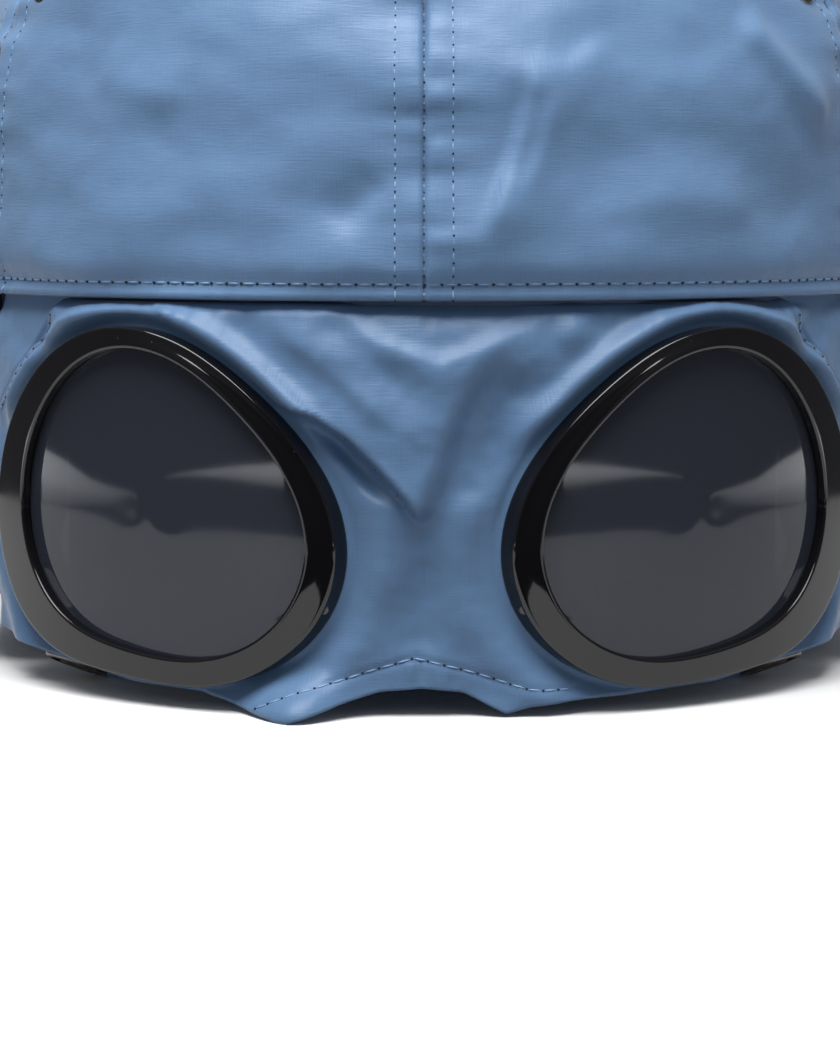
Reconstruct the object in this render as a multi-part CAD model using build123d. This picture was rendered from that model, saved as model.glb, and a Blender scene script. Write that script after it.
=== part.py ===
"""Nylon cap with a fold-down mask that carries two egg-shaped lenses, ear flaps and a nape strap.

Millimetres, +Z up. The head's axis is the Z axis, the wearer faces -Y and the wearer's left is +X.
The cap stands on the two nose tips of its mask and on its nape band, at z = 0.
"""
import os
from math import asin, atan2, cos, degrees, radians, sin

from build123d import *

# ---- Overall sizes ----
head_radius = 95.0        # outside of the crown cloth at the hem, a 597 mm head
crown_rise = 100.0        # apex above the hem
eye_height = 34.8         # centre of an eyepiece above the ground
hem_gap = 4.9             # hem above the top of an eyepiece

# ---- Cloth layers, as depths under the crown's outer face ----
cloth = 0.8               # shell cloth with its backing
tape_thickness = 0.4
facing_thickness = 0.7
lining_thickness = 0.4
sweatband_thickness = 1.2
layer_gap = 0.1
facing_height = 8.0
sweatband_height = 28.0
tape_half_angle = 3.6
seam_angles = (-180, -120, -60, 0, 60, 120)
apex_hole = 2.2

# ---- Mask, ear flaps and nape, all hung from the hem ----
hang_step = 0.5           # the hung cloth sits this far inside the crown cloth
mask_lining_thickness = 0.6
fold_gap = 0.4            # slit between the hem and a piece that folds
edge_gap = 0.6            # slit between neighbouring hung pieces
mask_edge_angle = 60.0
gusset_angle = 46.0       # where the gusset's lower seam meets the hem
gusset_drop = 21.5        # gusset's depth at the mask's edge
notch_height = 5.2
nose_tip = 18.5           # nose tips, each side of the centre
notch_facing = 6.0
side_rise = 9.0           # bottom edge above the ground at the mask's edge
flap_rear_angle = 119.0
flap_corner = 16.0

# ---- Eyepieces: r(a) = size + wide cos 2a + lean sin 2a + point sin 3a, a = 0 towards the nose ----
eye_angle = 31.5
rim_egg = dict(size=34.9, wide=3.2, lean=-1.4, point=-1.8, inset=1.3, lift=0.0)
lens_egg = dict(size=29.2, wide=1.9, lean=-1.6, point=-1.4, inset=-0.6, lift=0.9)
rim_depth = 4.2
lip_thickness = 2.2
lens_thickness = 1.5
lens_tuck = 1.2           # lens edge hidden behind the rim's lip
seat_clearance = 0.2
neck_wall = 1.2
neck_clearance = 0.3
back_ring_thickness = 1.5
back_ring_width = 11.5    # from the rim's outline to the back ring's opening
back_ring_drop = 1.2
screw_angles = (150, 205, 335)
screw_radius = 0.8
screw_head_radius = 1.5
screw_head_height = 0.8
screw_clearance = 0.15
screw_bite = 2.4          # thread length inside the rim

# ---- Eyelets and top button ----
eyelet_angles = (-53.3, 53.3, -126.7, 126.7)
eyelet_height = 58.0      # above the hem
eyelet_flange_radius = 4.25
eyelet_bore = 2.0
eyelet_wall = 0.5
eyelet_flange_thickness = 0.6
button_radius = 7.0
button_rise = 4.0
shank_radius = 1.6
shank_washer_radius = 6.5

# ---- Snaps under the mask's corners ----
snap_angle = 49.5
snap_socket_radius = 6.2
snap_socket_thickness = 1.9
snap_groove_depth = 0.7
snap_stud_bore = 2.0
snap_lead_in = 0.15
snap_cap_radius = 5.0
snap_cap_thickness = 1.8
snap_tab_width = 14.0
snap_tab_length = 12.8
snap_tab_thickness = 1.0
snap_tilt = 65.0          # how far the tab is turned under

# ---- Nape strap and its slider ----
strap_angle = 46.0        # half the strap's arc
strap_height = 30.0
strap_width = 20.0
strap_thickness = 1.2
strap_standoff = 2.5
strap_end_arc = 6.0
slider_half_angle = 7.0
slider_wall = 1.5
slider_clearance = 0.35

# ---- Worked out ----
rim_half_height = rim_egg["size"] - rim_egg["wide"] - rim_egg["point"]
hem_height = eye_height + rim_half_height + hem_gap
fold_height = hem_height - fold_gap
hung_radius = head_radius - hang_step
lining_radius = hung_radius - cloth - layer_gap
back_radius = lining_radius - mask_lining_thickness - layer_gap
rim_base = hung_radius + layer_gap
rim_front = rim_base + rim_depth
facing_depth = cloth + facing_thickness
lining_depth = facing_depth + layer_gap
sweatband_depth = lining_depth + lining_thickness + layer_gap


# ---- Shared shapes ----
def crown_point(turn, depth):
    """Radius and height on the crown's profile; turn runs from 0 at the hem to 90 at the apex."""
    radius = (head_radius - depth) * max(cos(radians(turn)), 0) ** (2 / 2.6)
    return radius, hem_height + (crown_rise - depth) * sin(radians(turn)) ** (2 / 3)


def turn_at_height(height, depth):
    share = (height - hem_height) / (crown_rise - depth)
    return degrees(asin(share ** 1.5))


def turn_at_radius(radius, depth):
    share = radius / (head_radius - depth)
    return 90 - degrees(asin(share ** 1.3))


def crown_layer(outside, inside, first_angle, last_angle, low=0.0, high=None, hole=apex_hole):
    """Part of one cloth layer: between two depths, two angles and two heights above the hem."""
    sides = []
    for depth in (outside, inside):
        start = turn_at_height(hem_height + low, depth) if low else 0.0
        stop = turn_at_height(hem_height + high, depth) if high else turn_at_radius(hole, depth)
        points = [crown_point(start + (stop - start) * i / 14, depth) for i in range(15)]
        sides.append(Spline(*[(radius, 0, height) for radius, height in points]))
    outer, inner = sides
    joins = [Line(outer @ 0, inner @ 0), Line(outer @ 1, inner @ 1)]
    profile = make_face([outer, inner] + joins)
    return Rot(0, 0, first_angle - 90) * revolve(profile, Axis.Z, last_angle - first_angle)


def sector(inner, outer, low, high, first_angle, last_angle):
    """Upright wall on the head's axis; angles are 0 at the front and grow towards the wearer's left."""
    profile = Plane.XZ * Pos((inner + outer) / 2, (low + high) / 2) * Rectangle(outer - inner, high - low)
    return Rot(0, 0, first_angle - 90) * revolve(profile, Axis.Z, last_angle - first_angle)


def eye_plane():
    """Upright plane through the head's axis that faces out through the wearer's right lens."""
    turn = radians(-eye_angle)
    return Plane(origin=(0, 0, eye_height), x_dir=(cos(turn), sin(turn), 0), z_dir=(sin(turn), -cos(turn), 0))


def egg_point(egg, angle, grow=0.0, drop=0.0):
    turn = radians(angle)
    radius = egg["size"] + egg["wide"] * cos(2 * turn) + egg["lean"] * sin(2 * turn)
    radius += egg["point"] * sin(3 * turn) + grow
    return radius * cos(turn) - egg["inset"], radius * sin(turn) + egg["lift"] - drop


def egg_disc(egg, inner, outer, grow=0.0, drop=0.0):
    """Curved plate with an egg outline, between two radii on the head's axis."""
    points = [egg_point(egg, 15 * i, grow, drop) for i in range(24)]
    blank = extrude(eye_plane() * make_face(Spline(*points, periodic=True)), amount=rim_front + 20)
    tall = 2 * hem_height
    return blank & (Pos(0, 0, hem_height / 2) * (Cylinder(outer, tall) - Cylinder(inner, tall)))


def mirrored(shape):
    """Mirror image on the wearer's other side; a group of solids stays a group."""
    copies = [mirror(solid, Plane.YZ) for solid in shape.solids()]
    return copies[0] if len(copies) == 1 else Compound(copies)


def pair(nodes, name, right_solid):
    nodes["right_" + name] = right_solid
    nodes["left_" + name] = mirrored(right_solid)


# ---- Crown ----
def eyelet_frames():
    """Frames on the crown's outer face, one for each eyelet, with z outwards."""
    turn = turn_at_height(hem_height + eyelet_height, 0.0)
    radius, height = crown_point(turn, 0.0)
    low, high = crown_point(turn - 1, 0.0), crown_point(turn + 1, 0.0)
    tilt = atan2(low[0] - high[0], high[1] - low[1])
    frames = []
    for angle in eyelet_angles:
        out = Vector(sin(radians(angle)), -cos(radians(angle)), 0)
        normal = out * cos(tilt) + Vector(0, 0, sin(tilt))
        tangent = Vector(cos(radians(angle)), sin(radians(angle)), 0)
        frames.append(Plane(origin=out * radius + Vector(0, 0, height), x_dir=tangent, z_dir=normal))
    return frames


def upright(radius, low, high):
    return Pos(0, 0, (low + high) / 2) * Cylinder(radius, high - low)


def crown_panels(nodes):
    names = ("rear_right", "side_right", "front_right", "front_left", "side_left", "rear_left")
    holes = [frame * upright(eyelet_bore + eyelet_wall + 0.15, -6, 6) for frame in eyelet_frames()]
    for name, first in zip(names, seam_angles):
        panel = crown_layer(0.0, cloth, first, first + 60)
        nodes[name + "_panel"] = panel - holes


def crown_inside(nodes):
    last = -180 + 360
    under = cloth + layer_gap
    nodes["hem_facing"] = crown_layer(under, facing_depth, -180, last, high=facing_height)
    tape_bottom = facing_height + 0.5
    tapes = [crown_layer(under, under + tape_thickness, at - tape_half_angle, at + tape_half_angle,
                         low=tape_bottom, hole=shank_washer_radius + 4) for at in seam_angles]
    nodes["seam_tapes"] = Compound(tapes)
    lining = crown_layer(lining_depth, lining_depth + lining_thickness, -180, last, low=0.3)
    holes = [frame * upright(eyelet_bore + 1, -9, 6) for frame in eyelet_frames()]
    nodes["crown_lining"] = lining - holes
    nodes["sweatband"] = crown_layer(sweatband_depth, sweatband_depth + sweatband_thickness, -180, last,
                                     low=0.3, high=sweatband_height)


def vent_eyelets(nodes):
    base = 0.15
    barrel = eyelet_bore + eyelet_wall
    washer_top = -(cloth + 0.25)
    washer_bottom = -(lining_depth - 0.1)
    flange = upright(eyelet_flange_radius, base, base + eyelet_flange_thickness)
    flange = fillet(flange.edges().group_by(Axis.Z)[-1], 0.4)
    eyelet = flange + upright(barrel, washer_bottom, base + 0.1)
    eyelet -= upright(eyelet_bore, -6, 6)
    washer = upright(eyelet_flange_radius - 0.1, washer_bottom, washer_top)
    washer -= upright(barrel + 0.05, -6, 6)
    nodes["vent_eyelets"] = Compound([frame * eyelet for frame in eyelet_frames()])
    nodes["vent_eyelet_washers"] = Compound([frame * washer for frame in eyelet_frames()])


def top_button(nodes):
    apex = hem_height + crown_rise
    shank_top = apex + 0.6 * button_rise
    dome = upright(button_radius, apex + layer_gap, apex + button_rise)
    dome = fillet(dome.edges().group_by(Axis.Z)[-1], 0.7 * button_rise)
    nodes["top_button"] = dome - upright(shank_radius + 0.05, apex - 1, shank_top + 0.05)
    floor = apex - lining_depth + 0.1
    washer = upright(shank_washer_radius, floor, apex - cloth - 0.1)
    nodes["top_button_shank"] = washer + upright(shank_radius, floor, shank_top)


# ---- Hung cloth: mask, gussets, ear flaps and nape ----
def mask_blank(lift=0.0):
    """Front-view outline of the mask, cut square through the front of the cap."""
    edge = head_radius * sin(radians(mask_edge_angle)) + 4
    corner = hung_radius * sin(radians(gusset_angle))
    lower = hung_radius * sin(radians(mask_edge_angle))
    slope = gusset_drop / (lower - corner)
    seam_low = fold_height - slope * (edge - corner)
    outline = [Spline((-nose_tip, lift), (-0.4 * nose_tip, 0.85 * notch_height + lift),
                      (0, notch_height + lift), (0.4 * nose_tip, 0.85 * notch_height + lift),
                      (nose_tip, lift))]
    for side in (-1, 1):
        outline += [ThreePointArc((side * nose_tip, lift), (side * 0.6 * edge, 0.36 * side_rise + lift),
                                  (side * edge, side_rise + lift)),
                    Line((side * edge, side_rise + lift), (side * edge, seam_low)),
                    Line((side * edge, seam_low), (side * corner, fold_height))]
    outline.append(Line((-corner, fold_height), (corner, fold_height)))
    return extrude(Plane.XZ * make_face(outline), amount=head_radius + 20)


def mask_cloth(outer, thickness, lift=0.0):
    wall = sector(outer - thickness, outer, -1, fold_height, -mask_edge_angle, mask_edge_angle)
    return wall & mask_blank(lift)


def mask_holes():
    """Holes through both cloth layers for the eyepiece necks and their screws."""
    neck = seat_grow() + neck_wall + neck_clearance
    hole = egg_disc(lens_egg, back_radius - 2, rim_base + 1, grow=neck)
    cuts = [hole, mirrored(hole)]
    for frame in screw_frames():
        shaft = frame * upright(screw_radius + screw_clearance, -4, 4)
        cuts += [shaft, mirrored(shaft)]
    return cuts


def mask_layers(nodes):
    holes = mask_holes()
    nodes["mask_outer"] = mask_cloth(hung_radius, cloth) - holes
    lining = mask_cloth(lining_radius, mask_lining_thickness, lift=0.4)
    reach = nose_tip + 4
    middle = Pos(0, -head_radius / 2, 0) * Box(2 * reach, head_radius + 40, 4 * hem_height)
    narrower = Pos(0, -head_radius / 2, 0) * Box(2 * reach - 0.6, head_radius + 40, 4 * hem_height)
    nodes["nose_facing"] = (lining & narrower) - mask_blank(lift=notch_facing - 0.3)
    nodes["mask_lining"] = lining - (middle - mask_blank(lift=notch_facing)) - holes


def gusset_walls(nodes):
    start = degrees(asin((hung_radius * sin(radians(gusset_angle)) - 2) / hung_radius))
    wall = sector(hung_radius - cloth, hung_radius, fold_height - gusset_drop - 6, hem_height,
                  -mask_edge_angle, -start)
    keep_out = mask_blank()
    grown = Pos(0, 0, edge_gap) * keep_out + keep_out + Pos(-edge_gap / 2, 0, 0) * keep_out
    pair(nodes, "temple_gusset", wall - grown)


def flap_blank():
    """Side-view outline of an ear flap with rounded lower corners."""
    front = -(back_radius + layer_gap) * cos(radians(mask_edge_angle)) + edge_gap
    rear = -hung_radius * cos(radians(flap_rear_angle))
    middle = (front + rear) / 2
    shape = Pos(middle, (fold_height + side_rise) / 2) * Rectangle(rear - front, fold_height - side_rise)
    corners = shape.vertices().group_by(Axis.Y)[0]
    shape = fillet(corners, flap_corner)
    return extrude(Plane.YZ * shape, amount=-(head_radius + 20))


def ear_flaps(nodes):
    blank = flap_blank()
    first, last = -flap_rear_angle - 3, -mask_edge_angle + 3
    outer = sector(hung_radius - cloth, hung_radius, 0, fold_height, first, last) & blank
    inner = sector(lining_radius - mask_lining_thickness, lining_radius, 0, fold_height, first, last)
    pair(nodes, "ear_flap_outer", outer)
    pair(nodes, "ear_flap_lining", inner & blank)


def nape(nodes):
    flap_end = -hung_radius * cos(radians(flap_rear_angle)) + edge_gap
    front = degrees(asin(flap_end / hung_radius)) + 90 + 1.2
    nodes["nape_band"] = sector(hung_radius - cloth, hung_radius, 0, hem_height, front, 360 - front)
    nodes["nape_lining"] = sector(lining_radius - mask_lining_thickness, lining_radius, 0.4,
                                  hem_height - 0.4, front, 360 - front)
    base = hung_radius + strap_standoff
    low, high = strap_height - strap_width / 2, strap_height + strap_width / 2
    first, last = 180 - strap_angle, 180 + strap_angle
    strap = sector(base, base + strap_thickness, low, high, first, last)
    for start in (first, last - strap_end_arc):
        strap += sector(hung_radius, base + 0.2, low, high, start, start + strap_end_arc)
    nodes["nape_strap"] = strap


def slider(nodes):
    base = hung_radius + strap_standoff
    low, high = strap_height - strap_width / 2, strap_height + strap_width / 2
    inner, outer = base - slider_clearance, base + strap_thickness + slider_clearance
    first, last = 180 - slider_half_angle, 180 + slider_half_angle
    gap = slider_clearance
    block = sector(inner - slider_wall, outer + slider_wall, low - gap - slider_wall,
                   high + gap + slider_wall, first, last)
    block -= sector(inner, outer, low - gap, high + gap, first - 2, last + 2)
    window = 0.45 * slider_half_angle
    for middle in (180 - window, 180 + window):
        block -= sector(outer - 1, outer + slider_wall + 1, low + 2, high - 2, middle - 1.7, middle + 1.7)
    nodes["nape_slider"] = block


# ---- Eyepieces ----
def seat_grow():
    return lens_tuck + seat_clearance


def screw_frames():
    """Frames on the mask's outer face, z outwards, midway between the neck's hole and the rim's edge."""
    neck = seat_grow() + neck_wall + neck_clearance
    frames = []
    for angle in screw_angles:
        hole, edge = egg_point(lens_egg, angle, neck), egg_point(rim_egg, angle)
        across, up = (hole[0] + edge[0]) / 2, (hole[1] + edge[1]) / 2
        turn = radians(-eye_angle) + asin(across / hung_radius)
        out = Vector(sin(turn), -cos(turn), 0)
        origin = out * hung_radius + Vector(0, 0, eye_height + up)
        frames.append(Plane(origin=origin, x_dir=(cos(turn), sin(turn), 0), z_dir=out))
    return frames


def rim_body():
    lip_back = rim_front - lip_thickness
    flange = egg_disc(rim_egg, rim_base, rim_front)
    neck = egg_disc(lens_egg, back_radius + layer_gap, rim_base + 1, grow=seat_grow() + neck_wall)
    body = flange + neck
    body -= egg_disc(lens_egg, back_radius - 3, rim_front + 3)
    body -= egg_disc(lens_egg, back_radius - 3, lip_back, grow=seat_grow())
    for frame in screw_frames():
        body -= frame * upright(screw_radius + 0.05, -3, screw_bite + 0.1)
    return body


def back_ring_body():
    inner = back_radius - back_ring_thickness
    ring = egg_disc(rim_egg, inner, back_radius, grow=-0.6)
    ring -= egg_disc(rim_egg, inner - 2, back_radius + 2, grow=-back_ring_width, drop=back_ring_drop)
    depth = hung_radius - inner
    for frame in screw_frames():
        ring -= frame * upright(screw_radius + screw_clearance, -depth - 1, 0)
        ring -= frame * upright(screw_head_radius + screw_clearance, -depth - 1,
                                -depth + screw_head_height + 0.05)
    return ring


def screws_body():
    depth = hung_radius - back_radius + back_ring_thickness
    screws = []
    for frame in screw_frames():
        head = upright(screw_head_radius, -depth + 0.05, -depth + screw_head_height)
        screws.append(frame * (head + upright(screw_radius, -depth + 0.1, screw_bite)))
    return Compound(screws)


def eyepieces(nodes):
    lens_front = rim_front - lip_thickness - layer_gap
    lens_back = lens_front - lens_thickness
    pair(nodes, "rim", rim_body())
    pair(nodes, "lens", egg_disc(lens_egg, lens_back, lens_front, grow=lens_tuck))
    gasket = egg_disc(lens_egg, back_radius + layer_gap, lens_back - layer_gap, grow=lens_tuck)
    gasket -= egg_disc(lens_egg, back_radius - 3, lens_back + 3, grow=-1.2)
    pair(nodes, "gasket", gasket)
    pair(nodes, "back_ring", back_ring_body())
    pair(nodes, "rim_screws", screws_body())


# ---- Snaps ----
def snap_frame():
    """Frame at the middle of the wearer's right snap tab; z points out of the snap's socket."""
    turn = radians(-snap_angle)
    out = Vector(sin(turn), -cos(turn), 0)
    tilt = radians(snap_tilt)
    normal = out * cos(tilt) - Vector(0, 0, sin(tilt))
    inward = out * -sin(tilt) - Vector(0, 0, cos(tilt))
    share = sin(radians(snap_angle)) / sin(radians(mask_edge_angle))
    fold = out * (back_radius - 0.6) + Vector(0, 0, side_rise * share ** 2 + 0.5)
    return Plane(origin=fold + inward * (snap_tab_length / 2), x_dir=(cos(turn), sin(turn), 0), z_dir=normal)


def snaps(nodes):
    frame = snap_frame()
    half = snap_tab_thickness / 2
    post = snap_stud_bore + 0.9
    tab = Box(snap_tab_width, snap_tab_length, snap_tab_thickness)
    tab = fillet(tab.edges().filter_by(Axis.Z), 3.0) - upright(post + 0.1, -3, 3)
    mouth = half + snap_socket_thickness
    socket = upright(snap_socket_radius, half + 0.05, mouth)
    socket = fillet(socket.edges().group_by(Axis.Z)[-1], 0.5)
    socket -= upright(snap_socket_radius - 1.3, mouth - snap_groove_depth, mouth + 1) - \
        upright(snap_stud_bore + 1.2, 0, mouth + 1)
    socket -= upright(snap_stud_bore, 0, mouth + 1)
    rings = socket.edges().filter_by(GeomType.CIRCLE)
    socket = chamfer([ring for ring in rings if abs(ring.radius - snap_stud_bore) < 0.01], snap_lead_in)
    cap = upright(snap_cap_radius, -half - snap_cap_thickness, -half)
    cap = fillet(cap.edges().group_by(Axis.Z)[0], 1.2)
    cap += upright(post, -half - 0.5, half)
    pair(nodes, "snap_tab", frame * tab)
    pair(nodes, "snap_cap", frame * cap)
    pair(nodes, "snap_socket", frame * socket)


def main():
    nodes = {}
    crown_panels(nodes)
    crown_inside(nodes)
    vent_eyelets(nodes)
    top_button(nodes)
    mask_layers(nodes)
    gusset_walls(nodes)
    ear_flaps(nodes)
    nape(nodes)
    slider(nodes)
    eyepieces(nodes)
    snaps(nodes)
    os.makedirs("parts", exist_ok=True)
    for name, solid in nodes.items():
        export_step(solid, f"parts/{name}.step")
        box = solid.bounding_box()
        print(f"{name}: {len(solid.solids())} solids, {solid.volume:.0f} mm3, z {box.min.Z:.1f} to {box.max.Z:.1f}")


main()
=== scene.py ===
import bpy, bmesh
from math import pi, sin, cos, asin, atan2, exp, hypot, radians, degrees, sqrt
from mathutils import Vector, Matrix, noise


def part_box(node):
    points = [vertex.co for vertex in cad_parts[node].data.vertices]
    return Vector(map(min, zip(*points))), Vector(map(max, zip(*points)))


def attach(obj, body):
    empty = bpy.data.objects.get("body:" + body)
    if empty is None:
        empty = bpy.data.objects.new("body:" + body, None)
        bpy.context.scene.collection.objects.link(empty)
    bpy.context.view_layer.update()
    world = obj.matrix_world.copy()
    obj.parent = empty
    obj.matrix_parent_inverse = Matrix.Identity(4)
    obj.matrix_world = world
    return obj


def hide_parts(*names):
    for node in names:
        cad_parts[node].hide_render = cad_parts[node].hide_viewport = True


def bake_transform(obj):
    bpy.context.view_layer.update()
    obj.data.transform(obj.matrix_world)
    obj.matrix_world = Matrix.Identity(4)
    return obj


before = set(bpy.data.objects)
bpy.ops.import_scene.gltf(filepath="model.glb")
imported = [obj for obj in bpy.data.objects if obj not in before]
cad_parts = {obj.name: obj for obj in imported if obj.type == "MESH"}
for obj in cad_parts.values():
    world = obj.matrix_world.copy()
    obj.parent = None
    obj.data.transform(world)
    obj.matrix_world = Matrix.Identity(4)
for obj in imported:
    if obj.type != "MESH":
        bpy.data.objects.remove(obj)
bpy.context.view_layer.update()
mm = 0.001


# measures read from the frame, in millimetres
def low(node, axis):
    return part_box(node)[0][axis] / mm


def high(node, axis):
    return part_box(node)[1][axis] / mm


cap = {
    "headRadius": high("side_left_panel", 0),
    "hemZ": low("front_left_panel", 2),
    "apexZ": high("front_left_panel", 2),
    "hungRadius": -low("mask_outer", 1),
    "foldZ": high("mask_outer", 2),
    "liningRadius": -low("mask_lining", 1),
    "seams": (-120, -60, 0, 60, 120, 180),
    "eyeAngle": 31.5,
    "eyeHeight": 34.8,
    "gussetAngle": 46.0,
    "maskEdge": 60.0,
}

# egg outline of an eyepiece: size + wide cos 2a + lean sin 2a + point sin 3a
rimEgg = {"size": 34.9, "wide": 3.2, "lean": -1.4, "point": -1.8, "inset": 1.3, "lift": 0.0}
lensEgg = {"size": 29.2, "wide": 1.9, "lean": -1.6, "point": -1.4, "inset": -0.6, "lift": 0.9}


def smooth(value):
    value = min(max(value, 0.0), 1.0)
    return value * value * (3 - 2 * value)


def bell(distance, width):
    return exp(-(distance / width) ** 2)


def wavy(x, y, z=0.0):
    return noise.noise(Vector((x, y, z)))


def onCap(azimuth, radius, z):  # azimuth in degrees, 0 at the front, then two sizes in millimetres
    turn = radians(azimuth)
    return Vector((sin(turn) * radius, -cos(turn) * radius, z)) * mm


def eggRadius(egg, turn):
    radius = egg["size"] + egg["wide"] * cos(2 * turn) + egg["lean"] * sin(2 * turn)
    return radius + egg["point"] * sin(3 * turn)


def rimDistance(azimuth, z):  # how far a place on the mask is outside the nearer rim
    across = cap["hungRadius"] * sin(radians(cap["eyeAngle"] - abs(azimuth))) + rimEgg["inset"]
    up = z - cap["eyeHeight"]
    return hypot(across, up) - eggRadius(rimEgg, atan2(up, across))


# shader helpers
def newMaterial(name):
    material = bpy.data.materials.new(name)
    material.use_nodes = True
    return material, material.node_tree, material.node_tree.nodes["Principled BSDF"]


def addNode(tree, kind, **settings):
    node = tree.nodes.new(kind)
    for key, value in settings.items():
        if key in node.inputs:
            node.inputs[key].default_value = value
        else:
            setattr(node, key, value)
    return node


def setInputs(node, values):
    for name, value in values.items():
        node.inputs[name].default_value = value


def makeWeaveGroup():  # crossed threads with slubs, on a vector in millimetres
    group = bpy.data.node_groups.new("crossWeave", "ShaderNodeTree")
    face = group.interface
    face.new_socket("Vector", in_out="INPUT", socket_type="NodeSocketVector")
    for name, value in (("Thread Pitch", 0.36), ("Slub", 0.5), ("Crumple", 0.5)):
        face.new_socket(name, in_out="INPUT", socket_type="NodeSocketFloat").default_value = value
    for name in ("Height", "Shade"):
        face.new_socket(name, in_out="OUTPUT", socket_type="NodeSocketFloat")
    start, end = group.nodes.new("NodeGroupInput"), group.nodes.new("NodeGroupOutput")
    link = group.links.new

    def maths(kind, a, b=None):
        node = addNode(group, "ShaderNodeMath", operation=kind)
        for socket, value in zip(node.inputs, (a, b)):
            if isinstance(value, (int, float)):
                socket.default_value = value
            elif value is not None:
                link(value, socket)
        return node.outputs[0]

    split = group.nodes.new("ShaderNodeSeparateXYZ")
    link(start.outputs["Vector"], split.inputs[0])
    turns = maths("DIVIDE", 2 * pi, start.outputs["Thread Pitch"])
    warp = maths("SINE", maths("MULTIPLY", split.outputs[0], turns))
    weft = maths("SINE", maths("MULTIPLY", split.outputs[1], turns))
    threads = maths("MULTIPLY", warp, weft)
    streaks = []
    for stretch in ((0.22, 3.1, 1.0), (2.7, 0.16, 1.0)):
        scaled = addNode(group, "ShaderNodeVectorMath", operation="MULTIPLY")
        scaled.inputs[1].default_value = stretch
        link(start.outputs["Vector"], scaled.inputs[0])
        streak = addNode(group, "ShaderNodeTexNoise", Scale=1.0, Detail=2.0, Roughness=0.6)
        link(scaled.outputs[0], streak.inputs["Vector"])
        streaks.append(streak.outputs[0])
    slub = maths("MULTIPLY", maths("SUBTRACT", maths("ADD", *streaks), 1.0), start.outputs["Slub"])
    crumple = addNode(group, "ShaderNodeTexNoise", Scale=0.16, Detail=3.0, Roughness=0.55, Distortion=0.4)
    link(start.outputs["Vector"], crumple.inputs["Vector"])
    crease = maths("MULTIPLY", crumple.outputs[0], start.outputs["Crumple"])
    link(maths("ADD", maths("MULTIPLY", threads, 0.035), maths("ADD", slub, crease)), end.inputs["Height"])
    link(maths("ADD", slub, maths("MULTIPLY", threads, 0.12)), end.inputs["Shade"])
    return group


def makeWearGroup():  # faint smears and dust on a hard surface
    group = bpy.data.node_groups.new("handledSurface", "ShaderNodeTree")
    face = group.interface
    face.new_socket("Vector", in_out="INPUT", socket_type="NodeSocketVector")
    face.new_socket("Smear Scale", in_out="INPUT", socket_type="NodeSocketFloat").default_value = 60.0
    for name in ("Smear", "Dust"):
        face.new_socket(name, in_out="OUTPUT", socket_type="NodeSocketFloat")
    start, end = group.nodes.new("NodeGroupInput"), group.nodes.new("NodeGroupOutput")
    smear = addNode(group, "ShaderNodeTexNoise", Detail=4.0, Roughness=0.6, Distortion=1.2)
    group.links.new(start.outputs["Vector"], smear.inputs["Vector"])
    group.links.new(start.outputs["Smear Scale"], smear.inputs["Scale"])
    group.links.new(smear.outputs[0], end.inputs["Smear"])
    cells = addNode(group, "ShaderNodeTexVoronoi", Scale=260.0, Randomness=1.0)
    group.links.new(start.outputs["Vector"], cells.inputs["Vector"])
    specks = addNode(group, "ShaderNodeMapRange", **{"From Min": 0.05, "From Max": 0.0})
    group.links.new(cells.outputs["Distance"], specks.inputs["Value"])
    group.links.new(specks.outputs[0], end.inputs["Dust"])
    return group


weaveGroup = makeWeaveGroup()
wearGroup = makeWearGroup()


def clothMaterial(name, colour, pitch=0.36, slub=0.5, crumple=0.5, rough=0.42, sheen=0.15, bump=0.25):
    variation = 0.10
    material, tree, shader = newMaterial(name)
    link = tree.links.new
    place = addNode(tree, "ShaderNodeUVMap", uv_map="cloth")
    weave = addNode(tree, "ShaderNodeGroup", node_tree=weaveGroup)
    setInputs(weave, {"Thread Pitch": pitch, "Slub": slub, "Crumple": crumple})
    link(place.outputs[0], weave.inputs["Vector"])
    shade = addNode(tree, "ShaderNodeMapRange", clamp=False)
    setInputs(shade, {"From Min": -0.6, "From Max": 0.6, "To Min": 1 - variation, "To Max": 1 + variation})
    link(weave.outputs["Shade"], shade.inputs["Value"])
    tint = addNode(tree, "ShaderNodeVectorMath", operation="SCALE")
    tint.inputs[0].default_value = colour
    link(shade.outputs[0], tint.inputs["Scale"])
    link(tint.outputs[0], shader.inputs["Base Color"])
    relief = addNode(tree, "ShaderNodeBump", Strength=bump, Distance=0.0004)
    link(weave.outputs["Height"], relief.inputs["Height"])
    link(relief.outputs[0], shader.inputs["Normal"])
    setInputs(shader, {"Roughness": rough, "Sheen Weight": sheen, "Sheen Roughness": 0.4,
                       "Specular IOR Level": 0.35})
    return material


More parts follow.
